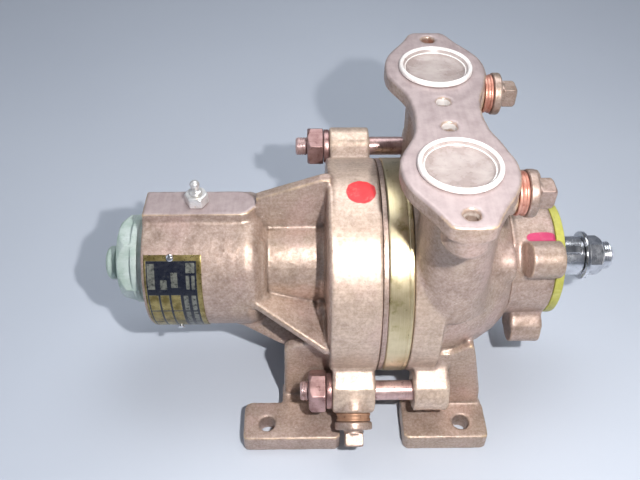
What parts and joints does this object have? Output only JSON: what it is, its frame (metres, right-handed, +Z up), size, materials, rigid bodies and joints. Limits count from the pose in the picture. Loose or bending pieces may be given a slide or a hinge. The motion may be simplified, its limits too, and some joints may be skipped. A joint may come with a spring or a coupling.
{
  "type": "bilge pump",
  "caption": "Bronze self-priming rotary pump with a bearing housing, twin upward pipe ports, bolted feet and a keyed drive shaft that turns the impeller inside an eccentric ring.",
  "frame": {"origin": "middle of the pump's footprint box, on the floor plane its feet stand on", "axes": "+X along the shaft towards the drive end, +Z up out of the pipe ports, -Y the front with the nameplate"},
  "size_m": [0.3644, 0.2144, 0.2285],
  "materials": {
    "cast_bronze": "sand-cast bronze, satin, machined bright on faces",
    "ring_brass": "turned brass",
    "stud_bronze": "turned silicon bronze",
    "copper": "soft copper",
    "green_nylon": "pale green, lightly worn",
    "stainless": "turned stainless steel",
    "chrome": "plated",
    "yellow_plastic": "yellow",
    "white_plastic": "translucent white",
    "rubber": "black nitrile",
    "nameplate": "black with a brass border and bands",
    "carbon": "carbon, lapped"
  },
  "bodies": {
    "housing": {"bearing_bracket": "cast_bronze", "pump_body": "cast_bronze", "end_cover": "cast_bronze", "port_plate_inner": "cast_bronze", "port_plate_outer": "cast_bronze", "port_plug_near": "cast_bronze", "port_plug_far": "cast_bronze", "drain_plug": "cast_bronze", "centre_ring": "ring_brass", "tie_stud_lower": "stud_bronze", "tie_stud_upper": "stud_bronze", "tie_nut_lower": "stud_bronze", "tie_nut_upper": "stud_bronze", "tie_washer_lower": "stud_bronze", "tie_washer_upper": "stud_bronze", "port_plug_washer_near": "copper", "port_plug_washer_far": "copper", "drain_plug_washer": "copper", "bearing_cap": "green_nylon", "cap_button": "green_nylon", "bearing_outer_outboard": "stainless", "bearing_outer_inboard": "stainless", "bearing_circlip": "stainless", "cover_screw_1": "stainless", "cover_screw_2": "stainless", "cover_screw_3": "stainless", "cover_screw_4": "stainless", "grease_adapter": "stainless", "nameplate_screw_1": "stainless", "nameplate_screw_2": "stainless", "grease_nipple": "chrome", "register_ring": "yellow_plastic", "grease_seal": "rubber", "water_seal": "rubber", "drive_seal": "rubber", "nameplate": "nameplate", "seal_seat": "carbon"},
    "rotor": {"shaft": "stainless", "drive_key": "stainless", "impeller_key": "stainless", "impeller": "ring_brass", "drive_washer": "stainless", "drive_nut": "stainless", "bearing_locknut": "stainless", "bearing_inner_outboard": "stainless", "bearing_inner_inboard": "stainless", "bearing_spacer": "stainless", "seal_head": "stainless", "seal_spring": "stainless"},
    "cage_outboard": {"bearing_balls_outboard": "ring_brass"},
    "cage_inboard": {"bearing_balls_inboard": "ring_brass"},
    "cap_near": {"port_cap_near": "white_plastic"},
    "cap_far": {"port_cap_far": "white_plastic"}
  },
  "joints": [
    {"name": "shaft_spin", "type": "hinge", "parent": "housing", "child": "rotor", "pos_m": [0, 0.00369, 0.101], "axis": [1, 0, 0], "continuous": true},
    {"name": "cage_outboard_spin", "type": "hinge", "parent": "housing", "child": "cage_outboard", "pos_m": [-0.13065, 0.00369, 0.101], "axis": [1, 0, 0], "continuous": true},
    {"name": "cage_inboard_spin", "type": "hinge", "parent": "housing", "child": "cage_inboard", "pos_m": [-0.09135, 0.00369, 0.101], "axis": [1, 0, 0], "continuous": true},
    {"name": "cap_near_lift", "type": "slide", "parent": "housing", "child": "cap_near", "axis": [0, 0, 1], "range_m": [0, 0.03]},
    {"name": "cap_far_lift", "type": "slide", "parent": "housing", "child": "cap_far", "axis": [0, 0, 1], "range_m": [0, 0.03]}
  ],
  "couplings": [
    {"joint": "cage_outboard_spin", "follows": "shaft_spin", "ratio": 0.384},
    {"joint": "cage_inboard_spin", "follows": "shaft_spin", "ratio": 0.384}
  ]
}
